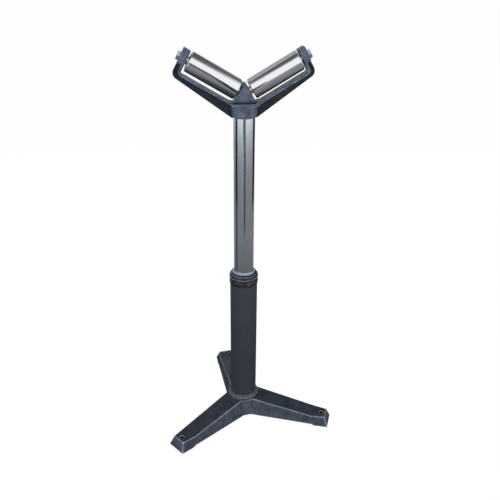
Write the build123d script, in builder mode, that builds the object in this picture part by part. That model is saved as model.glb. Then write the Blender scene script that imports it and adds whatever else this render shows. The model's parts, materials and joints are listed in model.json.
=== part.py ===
from build123d import *
import os
from math import atan2, cos, degrees, radians, sin

# V roller stand, in millimetres. The origin is on the floor, on the column's axis, and +Z is up.
# The rollers stand left and right of the post along X, and the pipe they carry lies along Y.

os.makedirs("parts", exist_ok=True)

# Clearances and overruns
running_clearance = 0.05
seat_clearance = 0.05
body_clearance = 0.3
overrun = 1.0

# Post and column tubes
post_diameter = 45.0
post_wall = 3.0
column_diameter = 63.5
column_wall = 3.0

# Heights above the floor, with the post set as photographed
column_top = 371.5
post_overlap = 61.5
hub_top = 58.0
socket_floor = 10.0
head_height = 754.0

# Tripod base: a black iron casting, hollow underneath, on three flat pads
leg_count = 3
tripod_turn = 7.5
foot_radius = 226.0
foot_end_lean = 9.5
foot_height = 24.5
foot_half_width = 25.0
foot_side_lean = 8.5
pad_top_length = 33.2
pad_root_top_half_width = 21.3
pad_root_half_width = 28.0
leg_start_share = 0.6
leg_root_height = 53.4
leg_root_top_half_width = 26.9
leg_root_half_width = 34.7
leg_edge_radius = 1.6
crotch_top_facet_width = 26.0
crotch_foot_facet_width = 16.5
crotch_foot_distance = 44.0
crotch_top_distance = 38.6
crotch_top_height = 47.0
pad_underside_length = 33.0
underside_rise = 2.8
underside_step_length = 4.5
casting_wall = 6.0
hub_wall = 5.5
hub_rim_radius = 4.2
drain_radius = 17.0
floor_bolt_inset = 20.0
floor_bolt_hole_radius = 4.5

# Bevel of the hexagon heads
head_bevel = 1.0
head_bevel_angle = 60.0

# Set screws that hold the column in the hub and the yoke on the post
set_screw_radius = 4.0
set_screw_socket_width = 4.0
set_screw_socket_depth = 4.0
column_set_screw_height = 30.0
column_set_screw_length = 10.0
yoke_set_screw_rise = 13.0
yoke_set_screw_length = 6.0

# Guide bush: moulded collar on the column's end, with a spigot inside the column
bush_spigot_length = 26.5
bush_base_radius = 32.5
bush_ring_radius = 33.4
bush_groove_radius = 32.3
bush_base_height = 2.5
bush_lower_ring_height = 9.5
bush_groove_height = 2.0
bush_upper_ring_height = 10.0
bush_step_height = 1.2
bush_shoulder_radius = 31.2
bush_shoulder_height = 2.6
bush_lip_rise = 7.7
bush_lip_width = 1.4
bush_screw_azimuth = 284.5
bush_screw_rise = 8.0
bush_screw_radius = 3.0
bush_screw_recess = 1.6
bush_screw_socket_width = 3.0
bush_screw_socket_depth = 3.0

# Height clamp behind the column: a screw with a lever presses a brass pad on the post
clamp_drop = 15.5
clamp_boss_radius = 14.0
clamp_boss_reach = 16.0
clamp_screw_radius = 6.0
clamp_screw_end_radius = 4.5
clamp_pad_radius = 5.5
clamp_pad_length = 7.0
clamp_travel = 1.75
lever_hub_radius = 12.0
lever_hub_length = 15.0
lever_length = 82.0
lever_root_radius = 6.2
lever_tip_radius = 5.5
lever_end_radius = 8.5
lever_kick = 12.0
lever_screw_radius = 2.5
lever_screw_length = 14.0
lever_screw_head_radius = 5.5
lever_screw_head_height = 3.0
lever_screw_socket_width = 3.0

# Foot of the post: plug, guide ring, washer and screw
foot_plug_depth = 20.0
foot_plug_flange = 5.0
foot_journal_radius = 15.0
guide_ring_height = 11.4
foot_washer_radius = 21.0
foot_washer_thickness = 3.0
foot_screw_radius = 5.0
foot_screw_length = 22.0
foot_screw_head_width = 17.0
foot_screw_head_height = 6.4

# Yoke: socket for the post, plate, wedge and two arms
arm_angle = 30.0
arm_root_x = 14.5
arm_root_rise = 55.5
socket_radius = 26.0
socket_chamfer = 3.5
socket_chamfer_angle = 45.0
plate_bottom_rise = 25.0
plate_thickness = 5.5
plate_half_depth = 25.0
plate_half_width = 28.0
arm_clearance = 6.0
rail_thickness = 5.0
rail_half_depth = 14.0
web_half_depth = 3.0
web_root_x = 26.5
web_depth_at_corner = 9.0
web_margin = 9.2
yoke_corner_radius = 13.0
rail_corner_radius = 4.0
wedge_half_depth = 12.0
wedge_top_rise = 68.5
ear_half_depth = 14.0
ear_thickness = 14.5
ear_rise = 18.5
ear_corner_radius = 2.0
cast_edge_radius = 1.0

# Rollers on their axle bolts
roller_radius = 21.0
roller_length = 110.0
roller_wall = 3.25
roller_end_chamfer = 1.2
roller_end_gap = 4.0
axle_radius = 5.0
axle_head_width = 17.0
axle_head_height = 6.4
axle_grip_in_wedge = 8.6
axle_hole_spare = 0.6
end_spacer_radius = 8.0
spacer_tube_radius = 7.5
bearing_inset = 2.0

# Ball bearings in the rollers
bearing_radius = 15.0
bearing_width = 9.0
inner_ring_radius = 8.7
outer_ring_bore_radius = 11.3
ball_radius = 2.38
ball_count = 8
race_clearance = 0.1
cage_width = 6.2
cage_wall = 1.6
cage_pocket_clearance = 0.12
shield_thickness = 0.4
shield_inset = 0.2
housing_lip = 1.6
housing_lip_depth = 2.5
housing_inset = 0.8

# Sizes and heights that follow from the ones above
post_radius = post_diameter / 2
post_bore_radius = post_radius - post_wall
column_radius = column_diameter / 2
column_bore_radius = column_radius - column_wall
hub_radius = column_radius + hub_wall
floor_bolt_circle_radius = foot_radius - floor_bolt_inset
post_foot_height = column_top - post_overlap
post_top = head_height + plate_bottom_rise - seat_clearance
bush_lower_ring_base = column_top + bush_base_height
bush_groove_base = bush_lower_ring_base + bush_lower_ring_height
bush_upper_ring_base = bush_groove_base + bush_groove_height
bush_step_base = bush_upper_ring_base + bush_upper_ring_height
bush_shoulder_base = bush_step_base + bush_step_height
bush_shoulder_top = bush_shoulder_base + bush_shoulder_height
bush_top = bush_shoulder_top + bush_lip_rise
clamp_height = column_top - clamp_drop
leg_start_angle = 90 + tripod_turn


def write_piece(piece, label):
    """Label a finished piece and write it to its own file."""
    piece.label = label
    export_step(piece, "parts/" + label + ".step")


def radial_plane(azimuth, height, radius=0):
    """Plane at a height and radius whose normal points outwards at the azimuth."""
    turn = radians(azimuth)
    outwards = (cos(turn), sin(turn), 0)
    return Plane(
        origin=(radius * outwards[0], radius * outwards[1], height),
        x_dir=(-sin(turn), cos(turn), 0),
        z_dir=outwards,
    )


# Tripod base


def leg_section(half_width, top_half_width, height, edge_radius):
    """Trapezoid of a leg, standing on the floor line, with rounded upper corners."""
    with BuildSketch() as section:
        with BuildLine():
            Polyline(
                (-half_width, 0),
                (half_width, 0),
                (top_half_width, height),
                (-top_half_width, height),
                close=True,
            )
        make_face()
        if edge_radius > 0:
            fillet(section.vertices().group_by(Axis.Y)[-1], radius=edge_radius)
    return section.sketch


pad_root_radius = foot_radius - foot_end_lean - pad_top_length
foot_top_half_width = foot_half_width - foot_side_lean
pad_top_taper = (pad_root_top_half_width - foot_top_half_width) / pad_top_length
foot_plane_top_half_width = foot_top_half_width - pad_top_taper * foot_end_lean
leg_start_radius = hub_radius * leg_start_share


def between(root, end, share):
    """Size at a share of the way from the hub's axis to the pad's root."""
    return root + (end - root) * share


def leg_section_at(radius, inset, edge_radius):
    """Section of a leg at a radius up to the pad's root, drawn in by an inset."""
    share = radius / pad_root_radius
    return radial_plane(0, 0, radius) * leg_section(
        between(leg_root_half_width, pad_root_half_width, share) - inset,
        between(leg_root_top_half_width, pad_root_top_half_width, share) - inset,
        between(leg_root_height, foot_height, share) - inset,
        edge_radius,
    )


foot_face_lean = atan2(foot_end_lean, foot_height)

with BuildPart() as leg:
    add(leg_section_at(leg_start_radius, 0, leg_edge_radius))
    add(leg_section_at(pad_root_radius, 0, leg_edge_radius))
    loft(ruled=True)
    add(leg_section_at(pad_root_radius, 0, leg_edge_radius))
    add(radial_plane(0, 0, foot_radius) * leg_section(
        foot_half_width, foot_plane_top_half_width, foot_height, leg_edge_radius))
    loft(ruled=True)
    foot_plane = Plane((foot_radius, 0, 0), z_dir=(cos(foot_face_lean), 0, sin(foot_face_lean)))
    split(bisect_by=foot_plane, keep=Keep.BOTTOM)
    foot_face = leg.faces().sort_by(Axis.X)[-1]
    fillet(foot_face.edges().filter_by(lambda edge: edge.center().Z > overrun), radius=leg_edge_radius)

# The hollow under a leg keeps the casting's wall inside the leg's sides and top.
with BuildPart() as leg_hollow:
    add(leg_section_at(leg_start_radius, casting_wall, 0))
    add(leg_section_at(foot_radius - pad_underside_length - casting_wall, casting_wall, 0))
    loft(ruled=True)


def crotch_section(distance, facet_width):
    """Hexagon across the hub with one flat facet in each crotch between two legs."""
    half_facet = degrees(atan2(facet_width / 2, distance))
    corner_radius = (distance ** 2 + (facet_width / 2) ** 2) ** 0.5
    with BuildSketch() as section:
        with BuildLine():
            Polyline(
                *[
                    (corner_radius * cos(radians(azimuth)), corner_radius * sin(radians(azimuth)))
                    for turn in range(leg_count)
                    for side in (-1, 1)
                    for azimuth in [leg_start_angle + (turn + 0.5) * 360 / leg_count + side * half_facet]
                ],
                close=True,
            )
        make_face()
    return section.sketch


underside_radius = foot_radius - pad_underside_length
column_screw_azimuths = [leg_start_angle + (turn + 0.5) * 360 / leg_count for turn in (-1, 0)]

with BuildPart() as tripod_base:
    with PolarLocations(0, leg_count, start_angle=leg_start_angle):
        add(leg.part)
    add(crotch_section(crotch_foot_distance, crotch_foot_facet_width))
    add(Plane.XY.offset(crotch_top_height) * crotch_section(crotch_top_distance, crotch_top_facet_width))
    loft(ruled=True)
    with BuildSketch(Plane.XZ):
        with BuildLine():
            Polyline(
                (0, -overrun),
                (underside_radius, -overrun),
                (underside_radius, 0),
                (underside_radius - underside_step_length, underside_rise),
                (0, underside_rise),
                close=True,
            )
        make_face()
    revolve(axis=Axis.Z, mode=Mode.SUBTRACT)
    with PolarLocations(0, leg_count, start_angle=leg_start_angle):
        add(leg_hollow.part, mode=Mode.SUBTRACT)
    # Hub with its rounded rim and the socket that the column stands in
    with BuildSketch(Plane.XZ):
        with BuildLine():
            Polyline(
                (0, underside_rise),
                (hub_radius, underside_rise),
                (hub_radius, hub_top - hub_rim_radius),
                (hub_radius - hub_rim_radius, hub_top),
                (0, hub_top),
                close=True,
            )
        make_face()
    revolve(axis=Axis.Z)
    with BuildSketch(Plane.XY.offset(socket_floor)):
        Circle(column_radius + seat_clearance)
    extrude(amount=hub_top, mode=Mode.SUBTRACT)
    with BuildSketch(Plane.XY):
        Circle(drain_radius)
    extrude(amount=hub_top, mode=Mode.SUBTRACT)
    # Tapped holes for the column's set screws, and the floor bolts' holes
    for azimuth in column_screw_azimuths:
        with BuildSketch(radial_plane(azimuth, column_set_screw_height)):
            Circle(set_screw_radius + seat_clearance)
        extrude(amount=crotch_foot_distance + overrun, mode=Mode.SUBTRACT)
    with BuildSketch(Plane.XY.offset(-overrun)):
        with PolarLocations(floor_bolt_circle_radius, leg_count, start_angle=leg_start_angle):
            Circle(floor_bolt_hole_radius)
    extrude(amount=foot_height + 2 * overrun, mode=Mode.SUBTRACT)

write_piece(tripod_base.part, "tripod_base")


# Column and what is fixed to it


def set_screw(plane, radius, length, socket_width, socket_depth):
    """Headless screw that starts on a plane, with a hexagon socket in its far end."""
    with BuildPart() as screw:
        with BuildSketch(plane):
            Circle(radius)
        extrude(amount=length)
        with BuildSketch(plane.offset(length - socket_depth)):
            RegularPolygon(radius=socket_width / 2, side_count=6, major_radius=False)
        extrude(amount=socket_depth, mode=Mode.SUBTRACT)
    return screw.part


with BuildPart() as column_set_screws:
    for azimuth in column_screw_azimuths:
        add(set_screw(
            radial_plane(azimuth, column_set_screw_height, column_radius + seat_clearance),
            set_screw_radius, column_set_screw_length, set_screw_socket_width, set_screw_socket_depth))
write_piece(column_set_screws.part, "column_set_screws")

clamp_plane = radial_plane(90, clamp_height)

with BuildPart() as column_tube:
    with BuildSketch(Plane.XY.offset(socket_floor)):
        Circle(column_radius)
        Circle(column_bore_radius, mode=Mode.SUBTRACT)
    extrude(amount=column_top - socket_floor)
    with BuildSketch(clamp_plane):
        Circle(clamp_screw_radius + body_clearance)
    extrude(amount=column_diameter, mode=Mode.SUBTRACT)
write_piece(column_tube.part, "column_tube")

bush_bore_radius = post_radius + running_clearance
bush_spigot_radius = column_bore_radius - seat_clearance
bush_spigot_bottom = column_top - bush_spigot_length
bush_screw_height = column_top + bush_screw_rise

with BuildPart() as guide_bush:
    with BuildSketch(Plane.XZ):
        with BuildLine():
            Polyline(
                (bush_base_radius, bush_lower_ring_base),
                (bush_base_radius, column_top),
                (bush_spigot_radius, column_top),
                (bush_spigot_radius, bush_spigot_bottom),
                (bush_bore_radius, bush_spigot_bottom),
                (bush_bore_radius, bush_top),
                (bush_bore_radius + bush_lip_width, bush_top),
                (bush_shoulder_radius, bush_shoulder_top),
                (bush_shoulder_radius, bush_shoulder_base),
                (bush_groove_radius, bush_step_base),
            )
            ThreePointArc(
                (bush_groove_radius, bush_step_base),
                (bush_ring_radius, (bush_step_base + bush_upper_ring_base) / 2),
                (bush_groove_radius, bush_upper_ring_base),
            )
            Line((bush_groove_radius, bush_upper_ring_base), (bush_groove_radius, bush_groove_base))
            ThreePointArc(
                (bush_groove_radius, bush_groove_base),
                (bush_ring_radius, (bush_groove_base + bush_lower_ring_base) / 2),
                (bush_base_radius, bush_lower_ring_base),
            )
        make_face()
    revolve(axis=Axis.Z)
    with BuildSketch(clamp_plane):
        Circle(clamp_pad_radius + running_clearance)
    extrude(amount=column_diameter, mode=Mode.SUBTRACT)
    with BuildSketch(radial_plane(bush_screw_azimuth, bush_screw_height)):
        Circle(bush_screw_radius + seat_clearance)
    extrude(amount=column_diameter, mode=Mode.SUBTRACT)
write_piece(guide_bush.part, "guide_bush")

bush_screw_start = post_radius + body_clearance
bush_screw = set_screw(
    radial_plane(bush_screw_azimuth, bush_screw_height, bush_screw_start), bush_screw_radius,
    bush_ring_radius - bush_screw_recess - bush_screw_start,
    bush_screw_socket_width, bush_screw_socket_depth)
write_piece(bush_screw, "bush_screw")

# Height clamp

clamp_boss_end = column_radius + clamp_boss_reach

with BuildPart() as clamp_boss:
    with BuildSketch(clamp_plane):
        Circle(clamp_boss_radius)
    extrude(amount=clamp_boss_end)
    with BuildSketch(Plane.XY):
        Circle(column_radius + seat_clearance)
    extrude(amount=bush_top, mode=Mode.SUBTRACT)
    with BuildSketch(clamp_plane):
        Circle(clamp_screw_radius + running_clearance)
    extrude(amount=clamp_boss_end + overrun, mode=Mode.SUBTRACT)
    chamfer(clamp_boss.faces().sort_by(Axis.Y)[-1].outer_wire().edges(), length=cast_edge_radius)
write_piece(clamp_boss.part, "clamp_boss")

pad_start = post_radius + body_clearance
screw_start = pad_start + clamp_pad_length + body_clearance
lever_start = clamp_boss_end + body_clearance
lever_end = lever_start + lever_hub_length

with BuildPart() as clamp_pad:
    with BuildSketch(clamp_plane.offset(pad_start)):
        Circle(clamp_pad_radius)
    extrude(amount=clamp_pad_length)
write_piece(clamp_pad.part, "clamp_pad")

with BuildPart() as clamp_screw:
    with BuildSketch(clamp_plane.offset(screw_start)):
        Circle(clamp_screw_radius)
    extrude(amount=lever_start - screw_start)
    with BuildSketch(clamp_plane.offset(lever_start)):
        Circle(clamp_screw_end_radius)
    extrude(amount=lever_hub_length)
    with BuildSketch(clamp_plane.offset(lever_end - lever_screw_length)):
        Circle(lever_screw_radius + seat_clearance)
    extrude(amount=lever_screw_length, mode=Mode.SUBTRACT)
write_piece(clamp_screw.part, "clamp_screw")

# The lever hangs from its hub and leans out, away from the column.
lever_middle = (lever_start + lever_end) / 2
lever_lean = degrees(atan2(lever_kick, lever_length))
lever_tip_height = clamp_height - lever_length

with BuildPart() as clamp_lever:
    with BuildSketch(clamp_plane.offset(lever_start)):
        Circle(lever_hub_radius)
    extrude(amount=lever_hub_length)
    for height, out, radius in (
        (clamp_height, lever_middle, lever_root_radius),
        (lever_tip_height, lever_middle + lever_kick, lever_tip_radius),
    ):
        with BuildSketch(Plane((0, out, height), x_dir=(1, 0, 0), z_dir=(0, 0, -1))):
            Circle(radius)
    loft()
    with Locations((0, lever_middle + lever_kick, lever_tip_height)):
        Sphere(lever_end_radius)
    with BuildSketch(clamp_plane.offset(lever_start)):
        Circle(clamp_screw_end_radius + seat_clearance)
    extrude(amount=lever_hub_length, mode=Mode.SUBTRACT)
write_piece(clamp_lever.part, "clamp_lever")

with BuildPart() as lever_screw:
    with BuildSketch(clamp_plane.offset(lever_end)):
        Circle(lever_screw_head_radius)
    extrude(amount=lever_screw_head_height)
    fillet(lever_screw.faces().sort_by(Axis.Y)[-1].edges(), radius=lever_screw_head_height / 2)
    with BuildSketch(clamp_plane.offset(lever_end)):
        Circle(lever_screw_radius)
    extrude(amount=-(lever_screw_length - overrun))
    with BuildSketch(clamp_plane.offset(lever_end + lever_screw_head_height)):
        RegularPolygon(radius=lever_screw_socket_width / 2, side_count=6, major_radius=False)
    extrude(amount=-lever_screw_head_height / 2, mode=Mode.SUBTRACT)
write_piece(lever_screw.part, "lever_screw")

# Post and its foot


def hexagon_screw(plane, radius, length, head_width, head_height):
    """Screw whose head's face lies on a plane, with its shank along the normal."""
    with BuildPart() as screw:
        with BuildSketch(plane):
            Circle(radius)
        extrude(amount=length)
        with BuildSketch(plane):
            RegularPolygon(radius=head_width / 2, side_count=6, major_radius=False)
        extrude(amount=-head_height)
        with BuildSketch(plane.offset(-head_height)):
            Circle(head_width / 2 - head_bevel / 2)
        extrude(amount=length + head_height, taper=-head_bevel_angle, mode=Mode.INTERSECT)
    return screw.part


flange_bottom = post_foot_height - foot_plug_flange
ring_top = flange_bottom - body_clearance
ring_bottom = ring_top - guide_ring_height
washer_top = ring_bottom - body_clearance
washer_bottom = washer_top - foot_washer_thickness

with BuildPart() as post_tube:
    with BuildSketch(Plane.XY.offset(post_foot_height)):
        Circle(post_radius)
        Circle(post_bore_radius, mode=Mode.SUBTRACT)
    extrude(amount=post_top - post_foot_height)
write_piece(post_tube.part, "post_tube")

with BuildPart() as foot_plug:
    with BuildSketch(Plane.XY.offset(post_foot_height)):
        Circle(post_bore_radius - seat_clearance)
    extrude(amount=foot_plug_depth)
    with BuildSketch(Plane.XY.offset(flange_bottom)):
        Circle(post_radius)
    extrude(amount=foot_plug_flange)
    with BuildSketch(Plane.XY.offset(washer_top)):
        Circle(foot_journal_radius)
    extrude(amount=flange_bottom - washer_top)
    with BuildSketch(Plane.XY.offset(washer_top)):
        Circle(foot_screw_radius + seat_clearance)
    extrude(amount=foot_screw_length, mode=Mode.SUBTRACT)
write_piece(foot_plug.part, "foot_plug")

with BuildPart() as guide_ring:
    with BuildSketch(Plane.XY.offset(ring_bottom)):
        Circle(column_bore_radius - running_clearance)
        Circle(foot_journal_radius + running_clearance, mode=Mode.SUBTRACT)
    extrude(amount=guide_ring_height)
    chamfer(guide_ring.edges().filter_by(GeomType.CIRCLE).group_by(SortBy.RADIUS)[-1],
            length=cast_edge_radius)
write_piece(guide_ring.part, "guide_ring")

with BuildPart() as foot_washer:
    with BuildSketch(Plane.XY.offset(washer_bottom)):
        Circle(foot_washer_radius)
        Circle(foot_screw_radius + seat_clearance, mode=Mode.SUBTRACT)
    extrude(amount=foot_washer_thickness)
write_piece(foot_washer.part, "foot_washer")

foot_screw = hexagon_screw(
    Plane.XY.offset(washer_bottom), foot_screw_radius, foot_screw_length,
    foot_screw_head_width, foot_screw_head_height)
write_piece(foot_screw, "foot_screw")

# Yoke

arm_run = cos(radians(arm_angle))
arm_climb = sin(radians(arm_angle))
ear_start = roller_length + roller_end_gap
ear_end = ear_start + ear_thickness
rail_top_drop = roller_radius + arm_clearance
rail_bottom_drop = rail_top_drop + rail_thickness
rail_end = ear_start + rail_thickness
plate_top_rise = plate_bottom_rise + plate_thickness


def arm_point(along, drop, side=1):
    """X and height of a point that lies along the axle and a drop square to it."""
    return (
        side * (arm_root_x + along * arm_run + drop * arm_climb),
        head_height + arm_root_rise + along * arm_climb - drop * arm_run,
    )


def along_at_rise(drop, rise):
    """Place along the arm where a line at this drop reaches a height above the yoke's underside."""
    return (rise - arm_root_rise + drop * arm_run) / arm_climb


def drop_at_rise(along, rise):
    """Drop at which a line square to the axle reaches a height above the yoke's underside."""
    return (arm_root_rise + along * arm_climb - rise) / arm_run


def axle_section(side):
    """Plane through an axle's axis, with the axis as its X and the upper side as its Y."""
    x, height = arm_point(0, 0, side)
    return Plane((x, 0, height), x_dir=(side * arm_run, 0, arm_climb), z_dir=(0, -side, 0))


def axle_plane(side, along):
    """Plane square to an axle at a place along it, facing outwards."""
    x, height = arm_point(along, 0, side)
    return Plane((x, 0, height), x_dir=(0, side, 0), z_dir=(side * arm_run, 0, arm_climb))


def axle_axis(side):
    """Axis of a roller."""
    x, height = arm_point(0, 0, side)
    return Axis((x, 0, height), (side * arm_run, 0, arm_climb))


rail_outline = [
    (0, head_height + plate_top_rise),
    arm_point(along_at_rise(rail_top_drop, plate_top_rise), rail_top_drop),
    arm_point(ear_start, rail_top_drop),
    arm_point(ear_start, 0),
    arm_point(rail_end, 0),
    arm_point(rail_end, rail_bottom_drop),
    arm_point(along_at_rise(rail_bottom_drop, plate_bottom_rise), rail_bottom_drop),
    (0, head_height + plate_bottom_rise),
]

# The web's lower edge runs straight from the socket to the yoke's outer corner.
web_end = rail_end + web_margin
web_middle = ear_start + rail_thickness / 2
web_root_along = (web_root_x - arm_root_x) * arm_run - arm_root_rise * arm_climb
web_root_drop = (web_root_x - arm_root_x) * arm_climb + arm_root_rise * arm_run
web_middle_drop = rail_bottom_drop + web_depth_at_corner
web_slope = (web_middle_drop - web_root_drop) / (web_middle - web_root_along)
web_end_drop = web_middle_drop + web_slope * (web_end - web_middle)
rail_middle_drop = rail_top_drop + rail_thickness / 2
plate_middle_rise = plate_bottom_rise + plate_thickness / 2
web_outline = [
    (0, head_height),
    (web_root_x, head_height),
    arm_point(web_end, web_end_drop),
    arm_point(web_end, ear_half_depth),
    arm_point(web_middle, ear_half_depth),
    arm_point(web_middle, rail_middle_drop),
    arm_point(along_at_rise(rail_middle_drop, plate_middle_rise), rail_middle_drop),
    (0, head_height + plate_middle_rise),
]
wedge_foot_x = arm_point(-roller_end_gap, drop_at_rise(-roller_end_gap, plate_top_rise))[0]
wedge_top_x = arm_point(-roller_end_gap, drop_at_rise(-roller_end_gap, wedge_top_rise))[0]
wedge_outline = [
    (0, head_height + plate_middle_rise),
    (wedge_foot_x, head_height + plate_middle_rise),
    (wedge_foot_x, head_height + plate_top_rise),
    (wedge_top_x, head_height + wedge_top_rise),
    (0, head_height + wedge_top_rise),
]
plate_flare = plate_half_depth - rail_half_depth

with BuildPart() as yoke_plate:
    with BuildSketch(Plane.XZ):
        with BuildLine():
            Polyline(*rail_outline, close=True)
        make_face()
    extrude(amount=plate_half_depth, both=True)
    with BuildSketch(Plane.XY.offset(head_height)):
        with BuildLine():
            Line((0, -plate_half_depth), (plate_half_width, -plate_half_depth))
            RadiusArc(
                (plate_half_width, -plate_half_depth),
                (plate_half_width + plate_flare, -rail_half_depth),
                plate_flare,
            )
            Polyline(
                (plate_half_width + plate_flare, -rail_half_depth),
                (plate_half_width + plate_flare, 0),
                (0, 0),
                (0, -plate_half_depth),
            )
        make_face()
        mirror(about=Plane.XZ)
    extrude(amount=2 * arm_root_rise, mode=Mode.INTERSECT)


def corner_at(sketch, place):
    """Vertex of a sketch that lies nearest to a place."""
    return min(sketch.vertices(), key=lambda vertex: (Vector(vertex.X, vertex.Y) - Vector(*place)).length)


axle_hole_radius = axle_radius + seat_clearance
axle_hole_end = -(roller_end_gap + axle_grip_in_wedge + axle_hole_spare)
socket_bore_radius = post_radius + seat_clearance
yoke_screw_plane = radial_plane(90, head_height + yoke_set_screw_rise, post_radius + seat_clearance)

with BuildPart() as yoke:
    add(yoke_plate.part)
    with BuildSketch(Plane.XZ) as rail_sketch:
        with BuildLine():
            Polyline(*rail_outline, close=True)
        make_face()
        fillet(corner_at(rail_sketch, arm_point(ear_start, rail_top_drop)), radius=rail_corner_radius)
        fillet(corner_at(rail_sketch, arm_point(rail_end, rail_bottom_drop)),
               radius=rail_corner_radius + rail_thickness)
    extrude(amount=rail_half_depth, both=True)
    with BuildSketch(Plane.XZ) as web_sketch:
        with BuildLine():
            Polyline(*web_outline, close=True)
        make_face()
        fillet(corner_at(web_sketch, arm_point(web_end, web_end_drop)), radius=yoke_corner_radius)
    extrude(amount=web_half_depth, both=True)
    with BuildSketch(Plane.XZ):
        with BuildLine():
            Polyline(*wedge_outline, close=True)
        make_face()
    extrude(amount=wedge_half_depth, both=True)
    with BuildSketch(axle_plane(1, ear_start)) as ear_sketch:
        Circle(ear_half_depth)
        Rectangle(2 * ear_half_depth, ear_rise, align=(Align.CENTER, Align.MIN))
        fillet(ear_sketch.vertices().group_by(Axis.Y)[-1], radius=ear_corner_radius)
    extrude(amount=ear_thickness)
    mirror(about=Plane.YZ)
    with BuildSketch(Plane.XY.offset(head_height + socket_chamfer)):
        Circle(socket_radius)
    extrude(amount=plate_middle_rise - socket_chamfer)
    with BuildSketch(Plane.XY.offset(head_height + socket_chamfer)):
        Circle(socket_radius)
    extrude(amount=-socket_chamfer, taper=socket_chamfer_angle)
    with BuildSketch(Plane.XY.offset(head_height)):
        Circle(socket_bore_radius)
    extrude(amount=plate_bottom_rise, mode=Mode.SUBTRACT)
    for side in (1, -1):
        with BuildSketch(axle_plane(side, axle_hole_end)):
            Circle(axle_hole_radius)
        extrude(amount=ear_end - axle_hole_end, mode=Mode.SUBTRACT)
    with BuildSketch(yoke_screw_plane):
        Circle(set_screw_radius + seat_clearance)
    extrude(amount=socket_radius, mode=Mode.SUBTRACT)
write_piece(yoke.part, "yoke")

yoke_set_screw = set_screw(
    yoke_screw_plane, set_screw_radius, yoke_set_screw_length,
    set_screw_socket_width, set_screw_socket_depth)
write_piece(yoke_set_screw, "yoke_set_screw")

# Axle bolts: each goes through its ear and roller and is tapped into the wedge.
axle_end = -(roller_end_gap + axle_grip_in_wedge)

with BuildPart() as axle_bolts:
    for side in (1, -1):
        head_plane = axle_plane(side, ear_end)
        inwards = Plane(head_plane.origin, x_dir=head_plane.x_dir, z_dir=-head_plane.z_dir)
        add(hexagon_screw(inwards, axle_radius - seat_clearance, ear_end - axle_end,
                          axle_head_width, axle_head_height))
write_piece(axle_bolts.part, "axle_bolts")

# Rollers


def turned(side, *walls):
    """Tubes round an axle, each given by its start, length, bore radius and outer radius."""
    with BuildPart() as piece:
        with BuildSketch(axle_section(side)):
            for start, length, bore_radius, outer_radius in walls:
                with Locations((start + length / 2, (bore_radius + outer_radius) / 2)):
                    Rectangle(length, outer_radius - bore_radius)
        revolve(axis=axle_axis(side))
    return piece.part


def at_both_ends(start, length, *radii):
    """The same tube at the inner and at the outer end of a roller."""
    return (start, length, *radii), (roller_length - start - length, length, *radii)


roller_bore_radius = roller_radius - roller_wall
bearing_end = bearing_inset + bearing_width
bearing_middles = (bearing_inset + bearing_width / 2, roller_length - bearing_inset - bearing_width / 2)
pitch_radius = (inner_ring_radius + outer_ring_bore_radius) / 2


def race_ring(side, bore_radius, outer_radius):
    """Bearing rings at both ends of a roller, with the groove that the balls run in."""
    with BuildPart() as rings:
        with BuildSketch(axle_section(side)):
            for middle in bearing_middles:
                with Locations((middle, (bore_radius + outer_radius) / 2)):
                    Rectangle(bearing_width, outer_radius - bore_radius)
                with Locations((middle, pitch_radius)):
                    Circle(ball_radius + race_clearance, mode=Mode.SUBTRACT)
        revolve(axis=axle_axis(side))
    return rings.part


def ball_sets(side, radius):
    """Balls of both bearings of a roller."""
    with BuildPart() as balls:
        for middle in bearing_middles:
            with Locations(axle_plane(side, middle)):
                with PolarLocations(pitch_radius, ball_count):
                    Sphere(radius)
    return balls.part


for side, name in ((1, "right"), (-1, "left")):
    with BuildPart() as roller_tube:
        with BuildSketch(axle_section(side)) as tube_sketch:
            with Locations((roller_length / 2, roller_radius - roller_wall / 2)):
                Rectangle(roller_length, roller_wall)
            chamfer(tube_sketch.vertices().group_by(Axis.Y)[-1], length=roller_end_chamfer)
        revolve(axis=axle_axis(side))
    write_piece(roller_tube.part, name + "_roller_tube")

    housings = turned(
        side,
        *at_both_ends(housing_inset, bearing_end - housing_inset,
                      bearing_radius + seat_clearance, roller_bore_radius - seat_clearance),
        *at_both_ends(bearing_end, housing_lip,
                      bearing_radius - housing_lip_depth, roller_bore_radius - seat_clearance))
    write_piece(housings, name + "_bearing_housings")

    write_piece(race_ring(side, outer_ring_bore_radius, bearing_radius), name + "_outer_rings")
    write_piece(race_ring(side, axle_radius, inner_ring_radius), name + "_inner_rings")
    write_piece(ball_sets(side, ball_radius), name + "_balls")

    cage_start = bearing_middles[0] - cage_width / 2
    with BuildPart() as cages:
        add(turned(side, *at_both_ends(
            cage_start, cage_width, pitch_radius - cage_wall / 2, pitch_radius + cage_wall / 2)))
        for middle in bearing_middles:
            with Locations(axle_plane(side, middle)):
                with PolarLocations(pitch_radius, ball_count):
                    Cylinder(
                        ball_radius + cage_pocket_clearance, 2 * cage_wall,
                        rotation=(0, 90, 0), mode=Mode.SUBTRACT)
    write_piece(cages.part, name + "_cages")

    shield_radii = (inner_ring_radius + body_clearance, outer_ring_bore_radius - seat_clearance)
    shields = turned(
        side,
        *at_both_ends(bearing_inset + shield_inset, shield_thickness, *shield_radii),
        *at_both_ends(bearing_end - shield_inset - shield_thickness, shield_thickness, *shield_radii))
    write_piece(shields, name + "_shields")

    end_spacers = turned(side, *at_both_ends(
        -roller_end_gap, roller_end_gap + bearing_inset, axle_radius, end_spacer_radius))
    write_piece(end_spacers, name + "_end_spacers")

    spacer_tube = turned(
        side, (bearing_end, roller_length - 2 * bearing_end, axle_radius, spacer_tube_radius))
    write_piece(spacer_tube, name + "_spacer_tube")
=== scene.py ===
import json

import bmesh
import bpy
import numpy as np
from mathutils import Matrix, Vector


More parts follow.
